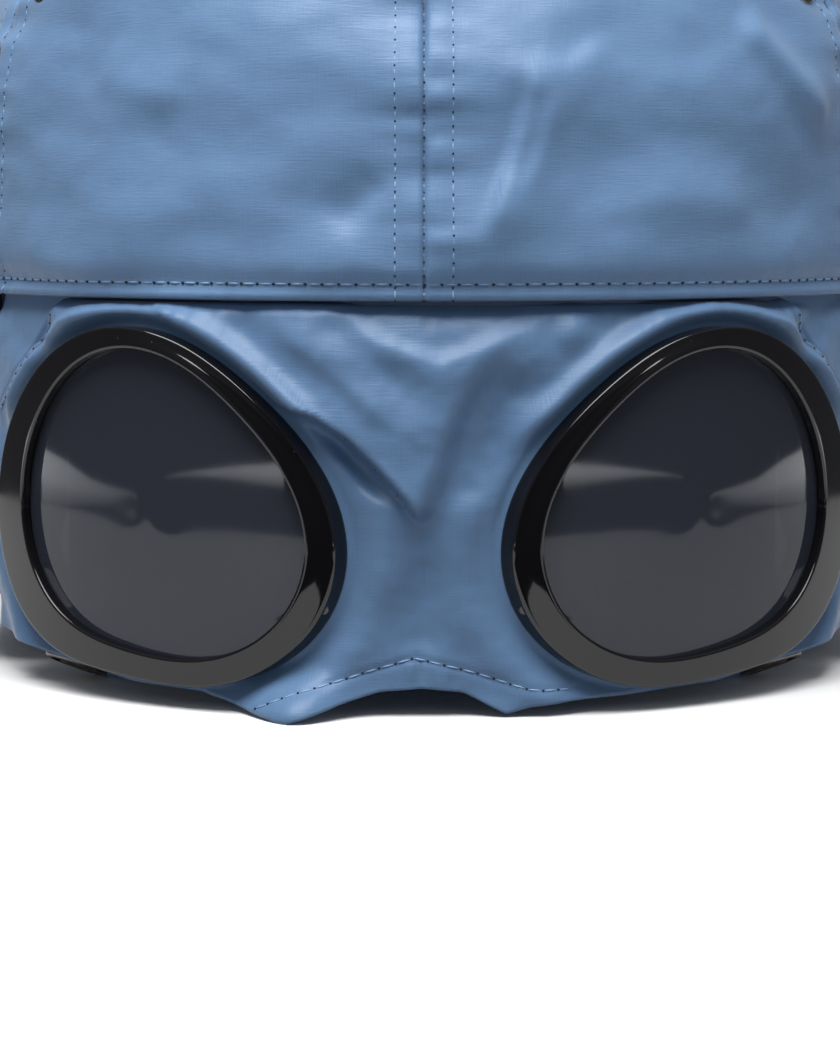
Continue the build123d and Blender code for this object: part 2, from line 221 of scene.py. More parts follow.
def hardMaterial(name, colour, metal=0.0, rough=0.3, spread=0.1, smearScale=60.0, bump=0.0):
    material, tree, shader = newMaterial(name)
    link = tree.links.new
    place = tree.nodes.new("ShaderNodeTexCoord")
    wear = addNode(tree, "ShaderNodeGroup", node_tree=wearGroup)
    wear.inputs["Smear Scale"].default_value = smearScale
    link(place.outputs["Object"], wear.inputs["Vector"])
    gloss = addNode(tree, "ShaderNodeMapRange", clamp=False)
    setInputs(gloss, {"To Min": rough - spread / 2, "To Max": rough + spread})
    link(wear.outputs["Smear"], gloss.inputs["Value"])
    link(gloss.outputs[0], shader.inputs["Roughness"])
    tint = addNode(tree, "ShaderNodeMix", data_type="RGBA")
    tint.inputs[6].default_value = (*colour, 1)
    tint.inputs[7].default_value = (*[c * 0.6 + 0.14 for c in colour], 1)
    fade = addNode(tree, "ShaderNodeMath", operation="MULTIPLY")
    fade.inputs[1].default_value = 0.5
    link(wear.outputs["Dust"], fade.inputs[0])
    link(fade.outputs[0], tint.inputs[0])
    link(tint.outputs[2], shader.inputs["Base Color"])
    if bump:
        relief = addNode(tree, "ShaderNodeBump", Strength=bump, Distance=0.0002)
        link(wear.outputs["Smear"], relief.inputs["Height"])
        link(relief.outputs[0], shader.inputs["Normal"])
    shader.inputs["Metallic"].default_value = metal
    return material


def smokeMaterial(name, tint, alpha, rough=0.015):
    material, tree, shader = newMaterial(name)
    place = tree.nodes.new("ShaderNodeTexCoord")
    wear = addNode(tree, "ShaderNodeGroup", node_tree=wearGroup)
    wear.inputs["Smear Scale"].default_value = 45.0
    tree.links.new(place.outputs["Object"], wear.inputs["Vector"])
    gloss = addNode(tree, "ShaderNodeMapRange", clamp=False)
    setInputs(gloss, {"To Min": rough, "To Max": rough + 0.05})
    tree.links.new(wear.outputs["Smear"], gloss.inputs["Value"])
    tree.links.new(gloss.outputs[0], shader.inputs["Roughness"])
    setInputs(shader, {"Base Color": (*tint, 1), "Alpha": alpha, "IOR": 1.45})
    return material


finishes = {
    "shell": clothMaterial("satinNylon", (0.137, 0.246, 0.424), slub=0.6, crumple=0.9),
    # painted shade: the shell's nylon made about a fifth darker for the mask and snap tabs, standing in for
    # the shade the hem casts on the mask
    "maskShellPaintedShade": clothMaterial("satinNylonPaintedShade", (0.108, 0.200, 0.352), slub=0.6, crumple=0.9),
    "inner": clothMaterial("liningCloth", (0.050, 0.080, 0.140), pitch=0.5, slub=0.3, rough=0.6),
    "jersey": clothMaterial("sweatbandJersey", (0.035, 0.050, 0.085), pitch=0.9, slub=0.2, rough=0.8,
                            sheen=0.3),
    "webbing": clothMaterial("ribbedWebbing", (0.060, 0.100, 0.175), pitch=1.4, slub=0.4, rough=0.55,
                             bump=0.6),
    "thread": hardMaterial("sewingThread", (0.240, 0.380, 0.590), rough=0.5, spread=0.2),
    # painted shade: near-black blobs at the needle holes, standing in for the shade inside each hole
    "needleHoleShade": hardMaterial("needleHoleShade", (0.008, 0.014, 0.030), rough=0.8, spread=0.1),
    "acetate": hardMaterial("polishedAcetate", (0.006, 0.0055, 0.0065), rough=0.05, spread=0.05),
    "ring": hardMaterial("mouldedPlastic", (0.016, 0.016, 0.018), rough=0.45, spread=0.15, bump=0.2),
    "foam": hardMaterial("closedFoam", (0.010, 0.010, 0.011), rough=0.85, bump=0.5),
    "gunmetal": hardMaterial("gunmetal", (0.16, 0.145, 0.13), metal=1.0, rough=0.28, spread=0.2,
                             smearScale=300.0),
    "steel": hardMaterial("blackenedSteel", (0.12, 0.12, 0.12), metal=1.0, rough=0.35, spread=0.2),
    "smoke": smokeMaterial("smokeLens", (0.031, 0.035, 0.050), 0.90),
}


# mesh helpers
def linkMesh(bm, name, material):
    mesh = bpy.data.meshes.new(name)
    bm.to_mesh(mesh)
    bm.free()
    piece = bpy.data.objects.new(name, mesh)
    bpy.context.scene.collection.objects.link(piece)
    mesh.materials.append(material)
    return piece


def finishPiece(bm, name, finish):
    piece = linkMesh(bm, name, finishes[finish])
    for face in piece.data.polygons:
        face.use_smooth = True
    return piece


def clothGrid(name, columns, rows, place, finish, thickness=0.5, skip=None):
    bm = bmesh.new()
    bmesh.ops.create_grid(bm, x_segments=columns, y_segments=rows, size=0.5)
    layer = bm.loops.layers.uv.new("cloth")
    shares = {vert: (vert.co.x + 0.5, vert.co.y + 0.5) for vert in bm.verts}
    spots = {vert: place(*share) for vert, share in shares.items()}
    for face in bm.faces:
        for loop in face.loops:
            loop[layer].uv = spots[loop.vert][1]
    if skip:
        gone = [face for face in bm.faces if all(skip(*spots[vert][2]) for vert in face.verts)]
        bmesh.ops.delete(bm, geom=gone, context="FACES")
    for vert in bm.verts:
        vert.co = spots[vert][0]
    bm.normal_update()
    middle = bm.faces[:][len(bm.faces) // 2]
    centre = middle.calc_center_median()
    if middle.normal.dot(Vector((centre.x, centre.y, 0.0))) < 0:
        bmesh.ops.reverse_faces(bm, faces=bm.faces[:])
    piece = finishPiece(bm, name, finish)
    if thickness:
        shell = piece.modifiers.new("thickness", "SOLIDIFY")
        shell.thickness = thickness * mm
        shell.offset = -1
        shell.use_even_offset = False
    return piece


def stitchPlaces(spots, pitch, length, width):  # thread bars, and dark blobs of painted shade at the needle holes, along a line of points
    lengths = [0.0]
    for a, b in zip(spots, spots[1:]):
        lengths.append(lengths[-1] + (b - a).length)
    total = lengths[-1]
    count = max(int(total / (pitch * mm)), 1)
    step = total / count

    def along(distance):
        distance = min(max(distance, 0.0), total)
        low, up = 0, len(lengths) - 1
        while up - low > 1:
            mid = (low + up) // 2
            low, up = (mid, up) if lengths[mid] <= distance else (low, mid)
        span = lengths[up] - lengths[low] or 1.0
        return spots[low].lerp(spots[up], (distance - lengths[low]) / span)

    bars, holeShades = [], []
    for i in range(count):
        centre = (i + 0.5) * step
        a, b = along(centre - length * mm / 2), along(centre + length * mm / 2)
        line = b - a
        if line.length < 1e-6:
            continue
        turn = line.to_track_quat("X", "Z").to_matrix().to_4x4()
        sway = Matrix.Rotation(radians(6 * wavy(i * 0.7, total * 900)), 4, "Z")
        size = Matrix.Diagonal((line.length / 2 + 0.1 * mm, width * mm / 2, width * mm / 2.6, 1))
        bars.append(Matrix.Translation((a + b) / 2) @ turn @ sway @ size)
        holeShade = Matrix.Diagonal((width * 0.62 * mm, width * 0.55 * mm, width * 0.55 * mm, 1))
        holeShades.append(Matrix.Translation(along(i * step)) @ turn @ holeShade)
    return bars, holeShades


def stitchPiece(name, rows, pitch, length, width, body):
    made = [stitchPlaces(spots, pitch, length, width) for spots in rows]
    for part, finish in ((0, "thread"), (1, "needleHoleShade")):
        places = [place for pair in made for place in pair[part]]
        bm, batch = bmesh.new(), bpy.data.meshes.new("batch")
        for first in range(0, len(places), 40):
            small = bmesh.new()
            for place in places[first:first + 40]:
                bmesh.ops.create_uvsphere(small, u_segments=6, v_segments=5, radius=1, matrix=place)
            small.to_mesh(batch)
            small.free()
            bm.from_mesh(batch)
        bpy.data.meshes.remove(batch)
        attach(finishPiece(bm, name + ("" if part == 0 else "_holes"), finish), body)


# crown
crown = {
    "power": (2.6, 3.0),      # how square the dome is outwards and upwards
    "hemRoll": 0.8,
    "facing": 7.0,
    "columns": 84,
    "rows": 150,
    "stitchInset": 5.0,
    "hemStitch": 3.5,
    "hemPitch": 3.0,
    "seamPitch": 2.4,
}


def domeProfile():
    height = cap["apexZ"] - cap["hemZ"]
    points = []
    for i in range(361):
        turn = radians(i / 4)
        near, far = 0.0, 2 * height
        for _ in range(40):
            reach = (near + far) / 2
            across = (reach * cos(turn) / cap["headRadius"]) ** crown["power"][0]
            up = (reach * sin(turn) / height) ** crown["power"][1]
            near, far = (reach, far) if across + up < 1 else (near, reach)
        points.append((near * cos(turn), cap["hemZ"] + near * sin(turn)))
    lengths = [0.0]
    for a, b in zip(points, points[1:]):
        lengths.append(lengths[-1] + hypot(b[0] - a[0], b[1] - a[1]))
    return points, lengths


domePoints, domeLengths = domeProfile()
domeLength = domeLengths[-1]


def domeAt(rise):  # radius, height and outward slope at an arc length above the hem
    rise = min(max(rise, 0.0), domeLength)
    index = min(int(rise / domeLength * 360), 359)
    while domeLengths[index] > rise:
        index -= 1
    while domeLengths[index + 1] < rise:
        index += 1
    share = (rise - domeLengths[index]) / (domeLengths[index + 1] - domeLengths[index])
    a, b = domePoints[index], domePoints[index + 1]
    run = hypot(b[0] - a[0], b[1] - a[1])
    radius, height = a[0] + (b[0] - a[0]) * share, a[1] + (b[1] - a[1]) * share
    return radius, height, (b[1] - a[1]) / run, (a[0] - b[0]) / run


def lineDistance(x, y, path):  # signed distance from a chain of points, and the nearest spot's share of it
    best = (1e9, 0.0, 1.0)
    for i, (a, b) in enumerate(zip(path, path[1:])):
        runX, runY = b[0] - a[0], b[1] - a[1]
        size = runX * runX + runY * runY
        share = min(max(((x - a[0]) * runX + (y - a[1]) * runY) / size, 0.0), 1.0)
        offX, offY = x - a[0] - runX * share, y - a[1] - runY * share
        away = hypot(offX, offY)
        if away < best[0]:
            best = (away, (i + share) / (len(path) - 1), 1.0 if runX * offY - runY * offX >= 0 else -1.0)
    return best[0] * best[2], best[1]


def fold(x, y, path, height, wide, narrow):  # a ridge, soft on the left of its path and steep on the right
    away, along = lineDistance(x, y, path)
    ends = smooth(along * 4) * smooth((1 - along) * 4) * 0.9 + 0.1
    return height * bell(away, wide if away > 0 else narrow) * ends


crownFolds = (  # paths in millimetres round the hem and up from it, then height and the two widths
    (((64, 52), (70, 46), (78, 38), (88, 30)), 2.2, 5.0, 3.0),
    (((20, 42), (17.5, 30), (14, 20), (10, 10)), 2.0, 6.0, 1.2),
    (((21, 38), (19, 29), (15.5, 19)), -1.1, 1.4, 4.0),
    (((-7, 22), (-11, 18), (-16, 12)), -0.9, 2.5, 3.5),
    (((-66, 44), (-55, 38), (-44, 36)), 1.0, 6.0, 4.0),
    (((30, 16), (50, 20), (66, 17)), 0.9, 6.0, 4.0),
    (((-60, 14), (-40, 18), (-20, 14)), 0.8, 6.0, 4.0),
    (((36, 46), (26, 40), (12, 40)), 0.8, 4.0, 2.5),
)


def crownRelief(azimuth, rise, radius):
    x = radians(azimuth) * cap["headRadius"]
    spot = onCap(azimuth, radius, 0) / mm
    relief = 1.9 * wavy(spot.x / 30, spot.y / 30, rise / 24)
    relief += 0.9 * wavy(spot.x / 16, spot.y / 16, rise / 11 + 7)
    relief += 0.16 * wavy(spot.x / 6, spot.y / 6, rise / 4.5 + 3)
    relief += 0.05 * wavy(spot.x / 2, spot.y / 2, rise / 2)
    relief += 1.3 * bell(rise - 7.5, 8.5 if rise > 7.5 else 4.0)
    for seam in cap["seams"]:
        away = abs((azimuth - seam + 180) % 360 - 180) * radians(1) * radius
        if away < 22:
            side = 1 if (azimuth - seam + 180) % 360 > 180 else -1
            gather = 1.5 * wavy(rise / 4.9, seam * 3.1, side * 0.15)
            gather *= 0.45 + 0.55 * smooth((rise - 16) / 16)
            gather += 0.45 * wavy(rise / 2.1, seam, side * 0.4)
            relief += gather * bell(away, 7.5)
            relief += 0.35 * smooth((5.9 - away) / 1.2)
            relief -= 0.55 * bell(away, 0.9) + 0.35 * bell(away - crown["stitchInset"], 0.6)
    for path, height, wide, narrow in crownFolds:
        relief += fold(x, rise, path, height, wide, narrow)
    relief *= smooth(rise / 6) * 0.85 + 0.15
    relief += 0.9 * smooth((crown["hemStitch"] - rise) / 3.5)
    relief -= 0.4 * bell(rise - crown["hemStitch"], 0.65)
    relief += 0.28 * wavy(x / 2.6, rise / 9, 4) * bell(rise - 2, 4.5)
    return relief * smooth((domeLength - rise) / 12)


def crownSpot(azimuth, rise, lift=0.0):  # below the hem's edge the cloth rolls under and runs up inside
    roll = crown["hemRoll"]
    if rise < roll * pi / 2:
        turn = min((roll * pi / 2 - rise) / roll, pi)
        inside = max(-rise - roll * pi / 2, 0.0)
        edge = crownRelief(azimuth, roll, cap["headRadius"])
        radius = cap["headRadius"] - roll + roll * cos(turn) + edge * (cos(turn) + 1) / 2
        return onCap(azimuth, radius + lift * cos(turn), cap["hemZ"] + roll - roll * sin(turn) + inside)
    radius, height, out, up = domeAt(rise - roll * (pi / 2 - 1))
    relief = crownRelief(azimuth, rise, radius) + lift
    return onCap(azimuth, max(radius + out * relief, 0.3), height + up * relief)


def makeCrown():
    roll = crown["hemRoll"]
    bottom, top = -roll * pi / 2 - crown["facing"], domeLength - 1.0
    names = ("rear_right", "side_right", "front_right", "front_left", "side_left", "rear_left")
    for index, name in enumerate(names):
        first = -180 + 60 * index

        def place(across, up, first=first):
            azimuth = first + 60 * across
            rise = bottom + (top - bottom) * up
            return crownSpot(azimuth, rise), (radians(azimuth) * cap["headRadius"], rise), (azimuth, rise)

        piece = clothGrid(name + "_cloth", crown["columns"], crown["rows"], place,
                          "shell", 0.45)
        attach(piece, "crown")
        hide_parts(name + "_panel", "hem_facing")
    rows = [[crownSpot(-180 + i * 0.4, crown["hemStitch"], 0.14) for i in range(901)]]
    stitchPiece("hem_stitches", rows, crown["hemPitch"], 2.5, 0.56, "crown")
    rows, joins = [], []
    rises = [0.6 + (domeLength - 13) * i / 259 for i in range(260)]
    for seam in cap["seams"]:
        joins.append([crownSpot(seam, rise, -0.12) for rise in rises])
        for offset in (-crown["stitchInset"], crown["stitchInset"]):
            line = []
            for rise in rises:
                radius = domeAt(rise)[0]
                if radius > 12:
                    line.append(crownSpot(seam + degrees(offset / radius), rise, 0.02))
            rows.append(line)
    stitchPiece("seam_joins", joins, crown["seamPitch"], 0.5, 0.44, "crown")
    stitchPiece("seam_stitches", rows, crown["seamPitch"], 1.3, 0.40, "crown")
    print("crown made")


# mask
mask = {
    "columns": 300,
    "rows": 116,
    "cutShare": 0.57,         # the cut cloth's share of its width times its height
    "notchStitch": ((-17.4, 1.6), (-13.4, 4.6), (-7.9, 7.2), (-1.0, 10.6), (4.9, 8.2), (11.4, 4.8),
                    (16.0, 4.6)),
    "bottomEdge": ((-60, 9.0), (-52, 7.6), (-34.5, 3.6), (-25, 3.0), (-18, 0.8), (-13.4, 0.0),
                   (-8.6, 2.8), (-4.6, 4.6), (0, 5.2), (4.2, 4.4), (8.7, 0.6), (11.4, 1.9), (17, 2.8),
                   (25, 3.0), (34.5, 3.6), (52, 7.6), (60, 9.0)),
}


def onLine(points, x):  # height of a chain of points at x, eased between them
    if x <= points[0][0]:
        return points[0][1]
    for a, b in zip(points, points[1:]):
        if x <= b[0]:
            return a[1] + (b[1] - a[1]) * (x - a[0]) / (b[0] - a[0])
    return points[-1][1]


# the raised fold between the eyepieces: height, then each edge's place across
tongueLeft = ((33.0, 0.5), (34.8, -1.7), (38.7, -4.1), (43.9, -8.6), (49.1, -13.9), (53.4, -20.1),
              (55.5, -27), (73, -52))
tongueRight = ((33.0, 0.5), (36.9, 3.6), (43.9, 6.3), (52.7, 9.0), (60, 12.5), (68.3, 18), (73, 24))
maskFolds = (  # paths in millimetres round the mask and up from the ground
    (((-27, 70), (-16, 61.5), (-4, 51)), 1.1, 3.5, 2.0),
    (((-20, 71), (-10, 65), (0, 56)), -0.7, 2.5, 2.5),
    (((-16, 71.5), (-8, 65.5), (3, 62), (13, 65.5), (24, 71)), 1.4, 2.0, 4.5),
    (((30, 70.5), (22, 65), (14, 58)), 1.3, 3.5, 2.5),
    (((25, 69), (19, 62), (16, 54)), -0.8, 2.5, 2.5),
    (((-88, 69), (-79, 64.5), (-73, 57)), -1.8, 3.0, 3.0),
    (((88, 69), (79, 64.5), (73, 57)), -1.8, 3.0, 3.0),
    (((-82, 71), (-66, 68.5), (-56, 70)), 1.2, 2.5, 2.0),
    (((82, 71), (66, 68.5), (56, 70)), 1.2, 2.5, 2.0),
    (((0.5, 31), (0, 20), (0, 9)), -1.3, 3.2, 3.2),
)


def maskRelief(azimuth, z):
    x = radians(azimuth) * cap["hungRadius"]
    away = rimDistance(azimuth, z)
    free = smooth(away / 5.0)
    drop = cap["foldZ"] - z
    relief = 0.9 * wavy(x / 15, z / 15, 11) + 0.5 * wavy(x / 7, z / 7, 5)
    relief += 0.12 * wavy(x / 2.5, z / 2.5, 2)
    tongue = smooth((x - onLine(tongueLeft, z)) / 1.8) * smooth((onLine(tongueRight, z) - x) / 6.0)
    relief += 4.2 * tongue * smooth((z - 32.5) / 4) * (0.2 + 0.8 * smooth((68 - z) / 24))
    relief -= 2.6 * bell(x - onLine(tongueLeft, z) + 2.6, 2.4) * smooth((z - 37) / 5) * smooth((58 - z) / 4)
    relief -= 1.2 * bell(x - onLine(tongueRight, z) - 3.5, 3.5) * smooth((z - 36) / 5) * smooth((64 - z) / 6)
    for path, height, wide, narrow in maskFolds:
        relief += fold(x, z, path, height, wide, narrow)
    relief += 1.5 * bell(away - 6.5, 3.5) * smooth((50 - z) / 12)
    gather = 0.5 + 0.5 * smooth((abs(x) - 26) / 12)
    relief += 0.32 * wavy(x / 1.5, z / 12, 8) * bell(drop - 3.0, 3.2) * gather
    relief = 0.3 + relief * free
    above = smooth((z - 46) / 9)
    relief += 2.7 * bell(away - 3.4, 2.0) * above
    relief -= 0.5 * bell(away - 0.8, 1.0)
    relief -= 2.6 * bell(drop, 4.6) * (0.3 + 0.7 * smooth((24 - abs(x - 3)) / 14))
    relief -= 1.5 * bell(drop, 1.2)
    below = z - onLine(mask["notchStitch"], azimuth)
    relief -= 0.4 * bell(below, 0.6) * smooth((18 - abs(azimuth)) / 2)
    relief += 0.7 * wavy(x / 1.6, z / 8, 3) * bell(x - 0.5, 5) * bell(below + 2, 4)
    relief += 9.5 * bell(azimuth + 12.6, 5.2) * smooth((11 - z) / 11) ** 1.4
    relief += 1.6 * bell(azimuth - 9.5, 5) * smooth((8 - z) / 8)
    deepest = -0.1 if away < 0 else -3.0
    return min(max(relief, deepest), 0.02 + max(away - 0.25, 0) * 2.2)


def maskSpot(azimuth, z, radius, lift=0.0):
    return onCap(azimuth, radius + maskRelief(azimuth, z) + lift, z)


def insideEye(azimuth, z, grow):  # inside an eyepiece's opening, grown by a margin
    across = cap["hungRadius"] * sin(radians(cap["eyeAngle"] - abs(azimuth))) + lensEgg["inset"]
    up = z - cap["eyeHeight"] - lensEgg["lift"]
    return hypot(across, up) < eggRadius(lensEgg, atan2(up, across)) + grow


def gussetLine(azimuth):  # height of the seam under the temple gusset
    reach = cap["hungRadius"] * (sin(radians(abs(azimuth))) - sin(radians(cap["gussetAngle"])))
    span = cap["hungRadius"] * (sin(radians(cap["maskEdge"])) - sin(radians(cap["gussetAngle"])))
    return cap["foldZ"] - max(reach, 0.0) / span * 21.5


def maskPlace(radius, lowLift, highDrop, lift=0.0):
    def place(across, up):
        azimuth = (2 * across - 1) * cap["maskEdge"]
        bottom = onLine(mask["bottomEdge"], azimuth) + lowLift
        top = gussetLine(azimuth) - highDrop
        z = bottom + (top - bottom) * up
        x = radians(azimuth) * radius
        return maskSpot(azimuth, z, radius, lift), (x, z), (azimuth, z)
    return place


def makeMask():
    cloth = clothGrid("mask_cloth", mask["columns"], mask["rows"], maskPlace(cap["hungRadius"], 0, 0.0),
                      "maskShellPaintedShade", 0.6, lambda azimuth, z: insideEye(azimuth, z, 1.9))
    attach(cloth, "mask")
    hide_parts("mask_outer")
    inside = clothGrid("mask_lining_cloth", 150, 60,
                       maskPlace(cap["liningRadius"] + 0.05, 0.6, 0.3, -0.15),
                       "inner", 0.3, lambda azimuth, z: insideEye(azimuth, z, 2.2))
    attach(inside, "mask")
    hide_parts("mask_lining", "nose_facing")
    count = 240
    row = []
    for i in range(count + 1):
        azimuth = -17.4 + 33.4 * i / count
        row.append(maskSpot(azimuth, onLine(mask["notchStitch"], azimuth), cap["hungRadius"], 0.08))
    stitchPiece("notch_stitches", [row], 2.9, 2.4, 0.42, "mask")
    print("mask made")


def makeFoldStrip(name, first, last, relief):  # hinge cloth behind the hem
    def place(across, up):
        azimuth = first + (last - first) * across
        z = 63.5 + 13.0 * up
        below = smooth((cap["hemZ"] - z) / 3)
        radius = cap["liningRadius"] - 1.15 + min(relief(azimuth, min(z, cap["foldZ"])), 0.0) * below
        return onCap(azimuth, radius, z), (radians(azimuth) * 94.5, z), (azimuth, z)

    strip = clothGrid(name, 110, 14, place, "inner", 0.3)
    onCap((first + last) / 2, 92, 73.4)
    onCap((first + last) / 2, 92, 65.0)
    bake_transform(strip)


def makeFoldStrips():
    edge = cap["maskEdge"]
    makeFoldStrip("mask_fold_cloth", -edge + 1, edge - 1, maskRelief)
    front, rear = flapEdges()
    for side, name in ((-1, "right"), (1, "left")):
        first, last = sorted((side * (front + 1), side * (rear - 1)))
        makeFoldStrip(name + "_flap_fold_cloth", first, last, lambda azimuth, z: 0.0)
    print("fold strips made")


snapTab = {"azimuth": 49.5, "tilt": 65.0, "width": 14.0, "length": 12.8, "thickness": 1.0}


def makeSnapTabs():
    turn, tilt = radians(snapTab["azimuth"]), radians(snapTab["tilt"])
    for side, name in ((-1, "right"), (1, "left")):
        lowest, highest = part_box(name + "_snap_tab")
        middle = (Vector(lowest) + Vector(highest)) / 2
        out = Vector((side * sin(turn), -cos(turn), 0))
        along = out * -sin(tilt) - Vector((0, 0, cos(tilt)))
        sideways = Vector((cos(turn), side * sin(turn), 0))
        normal = out * cos(tilt) - Vector((0, 0, sin(tilt)))

        def place(across, up, middle=middle, along=along, sideways=sideways, normal=normal):
            u, v = 2 * across - 1, 2 * up - 1
            x = u * snapTab["width"] / 2 * (1 - 0.16 * abs(v) ** 6)
            y = v * snapTab["length"] / 2 * (1 - 0.16 * abs(u) ** 6)
            ripple = 0.07 * wavy(x / 2.2, y / 2.2, 31) - 0.16 * bell(max(abs(u), abs(v)) - 0.82, 0.07)
            spot = middle + (sideways * x + along * y + normal * (0.5 + ripple)) * mm
            return spot, (x, y), (x, y)

        tab = clothGrid(name + "_snap_tab_cloth", 34, 32, place, "maskShellPaintedShade", 0.0)
        shell = tab.modifiers.new("thickness", "SOLIDIFY")
        shell.thickness, shell.offset = snapTab["thickness"] * mm, -1 if faces(tab, normal) else 1
        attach(tab, "mask")
        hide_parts(name + "_snap_tab")


def faces(piece, direction):
    return piece.data.polygons[len(piece.data.polygons) // 2].normal.dot(direction) > 0


def makeGussets():
    for side, name in ((-1, "right"), (1, "left")):
        def place(across, up, side=side):
            azimuth = side * (cap["gussetAngle"] - 1 + (cap["maskEdge"] - cap["gussetAngle"] + 1) * across)
            bottom = min(gussetLine(azimuth) - 2.5, cap["hemZ"] - 2.4)
            z = bottom + (cap["hemZ"] + 1.2 - bottom) * up
            deep = 1.2 * bell(cap["hemZ"] - z, 3) + 0.75 * smooth((gussetLine(azimuth) + 0.6 - z) / 1.2)
            relief = max(maskRelief(azimuth, min(z, cap["foldZ"])), -0.6)
            spot = onCap(azimuth, cap["hungRadius"] + relief - deep, z)
            return spot, (radians(azimuth) * 94.5, z), (azimuth, z)

        piece = clothGrid(name + "_gusset_cloth", 26, 34, place, "shell", 0.5)
        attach(piece, "crown")
        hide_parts(name + "_temple_gusset")
        row = []
        for i in range(60):
            azimuth = side * (cap["gussetAngle"] + 1 + 12.6 * i / 59)
            z = gussetLine(azimuth) - 1.2
            row.append(maskSpot(azimuth, z, cap["hungRadius"], 0.05))
        stitchPiece(name + "_gusset_stitches", [row], 2.4, 1.6, 0.38, "mask")


# eyepieces
eyepiece = {
    "base": cap["hungRadius"] + 0.1,
    "depth": 4.2,
    "lip": 2.2,
    "lensThickness": 1.5,
    "tuck": 1.2,
    "neckWall": 1.2,
    "rounding": 0.55,
    "noseLean": 1.0,          # how far the rim's outer edge falls back towards the nose
    "segments": 180,
}


def eyeSpot(side, turn, mix, grow, radius, shrink=1.0):  # mix is 0 on the lens outline and 1 on the rim's
    across, up = 0.0, 0.0
    for egg, share in ((lensEgg, 1 - mix), (rimEgg, mix)):
        reach = (eggRadius(egg, turn) + grow) * shrink
        across += share * (reach * cos(turn) - egg["inset"])
        up += share * (reach * sin(turn) + egg["lift"])
    azimuth = degrees(asin(across / radius)) - cap["eyeAngle"]
    lean = eyepiece["noseLean"] * mix * smooth((cos(turn - 0.35) - 0.25) / 0.5)
    lean *= smooth((radius - 96.5) / 1.5)
    return onCap(-side * azimuth, radius - lean, cap["eyeHeight"] + up)


def eyeBody(side, section, name, finish):  # a tube with one ring for each step of its section
    bm = bmesh.new()
    bmesh.ops.create_circle(bm, segments=eyepiece["segments"], radius=1.0)
    edges = bm.edges[:]
    for _ in section[1:]:
        made = bmesh.ops.extrude_edge_only(bm, edges=edges)["geom"]
        verts = [item for item in made if isinstance(item, bmesh.types.BMVert)]
        edges = [item for item in made if isinstance(item, bmesh.types.BMEdge)]
        bmesh.ops.translate(bm, verts=verts, vec=(0, 0, 1))
    for vert in bm.verts:
        mix, grow, radius, shrink = section[round(vert.co.z)]
        vert.co = eyeSpot(side, atan2(vert.co.y, vert.co.x), mix, grow, radius, shrink)
    bmesh.ops.remove_doubles(bm, verts=bm.verts[:], dist=1e-6)
    bmesh.ops.recalc_face_normals(bm, faces=bm.faces[:])
    return finishPiece(bm, name, finish)


def makeEyepieces():
    base, rounding = eyepiece["base"], eyepiece["rounding"]
    front = base + eyepiece["depth"]
    lip = front - eyepiece["lip"]
    seat = eyepiece["tuck"] + 0.2
    neck = seat + eyepiece["neckWall"]
    back = cap["liningRadius"] - 0.6
    corner = [(sin(radians(a)), cos(radians(a))) for a in range(0, 91, 15)]
    rimSection = [(0, 0, lip, 1), (0, 0, lip + 0.3, 1), (0, 0, front - rounding - 0.3, 1)]
    rimSection += [(0, rounding * (1 - c), front - rounding * (1 - s), 1) for s, c in corner]
    rimSection += [(0, rounding + 0.5, front, 1), (0.5, 0, front, 1), (1, -rounding - 0.5, front, 1)]
    rimSection += [(1, -rounding * (1 - s), front - rounding * (1 - c), 1) for s, c in corner]
    rimSection += [(1, 0, front - rounding - 0.3, 1), (1, 0, base + 0.3, 1), (1, 0, base, 1)]
    rimSection += [(1, -0.4, base, 1), (0, neck, base, 1), (0, neck, back, 1), (0, seat, back, 1)]
    rimSection += [(0, seat, lip, 1), (0, 0.3, lip, 1)]
    rimSection.append(rimSection[0])
    lensFront, lensBack = lip - 0.1, lip - 0.1 - eyepiece["lensThickness"]
    steps = (1, 0.96, 0.85, 0.7, 0.5, 0.3, 0.12, 0.0)
    lensSection = [(0, eyepiece["tuck"], lensBack, k) for k in reversed(steps)]
    lensSection += [(0, eyepiece["tuck"], lensFront, k) for k in steps]
    for side, name in ((-1, "right"), (1, "left")):
        rim = eyeBody(side, rimSection, name + "_rim_body", "acetate")
        lens = eyeBody(side, lensSection, name + "_lens_body", "smoke")
        for piece, node in ((rim, "rim"), (lens, "lens")):
            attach(piece, "mask")
            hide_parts(name + "_" + node)
    print("eyepieces made")


# ear flaps, nape, linings
flap = {"columns": 90, "rows": 64, "rear": 119.0, "bottom": 9.0, "corner": 16.0, "stitchInset": 3.5}


def flapEdges():  # azimuth range of an ear flap
    front = degrees(asin(low("right_ear_flap_outer", 1) / cap["hungRadius"])) + 90
    rear = degrees(asin(high("right_ear_flap_outer", 1) / cap["hungRadius"])) + 90
    return front, rear


def flapBottom(azimuth, front, rear):
    reach = min(azimuth - front, rear - azimuth) * radians(1) * cap["hungRadius"]
    corner = flap["corner"]
    if reach >= corner:
        return flap["bottom"]
    return flap["bottom"] + corner - sqrt(max(corner ** 2 - (corner - max(reach, 0)) ** 2, 0))


def softRelief(azimuth, z, seed, top, bottom):
    x = radians(azimuth) * cap["hungRadius"]
    relief = 1.1 * wavy(x / 24, z / 30, seed) + 0.5 * wavy(x / 10, z / 14, seed + 3)
    relief += 0.14 * wavy(x / 3.5, z / 4, seed)
    relief += 0.45 * wavy(x / 1.9, z / 14, seed + 8) * bell(top - z - 2.5, 3.0)
    relief += 0.25 * wavy(x / 2.6, z / 2.6, seed + 5) * bell(z - bottom - flap["stitchInset"], 3.0)
    return max(relief, -0.4) * smooth((top - z) / 6)


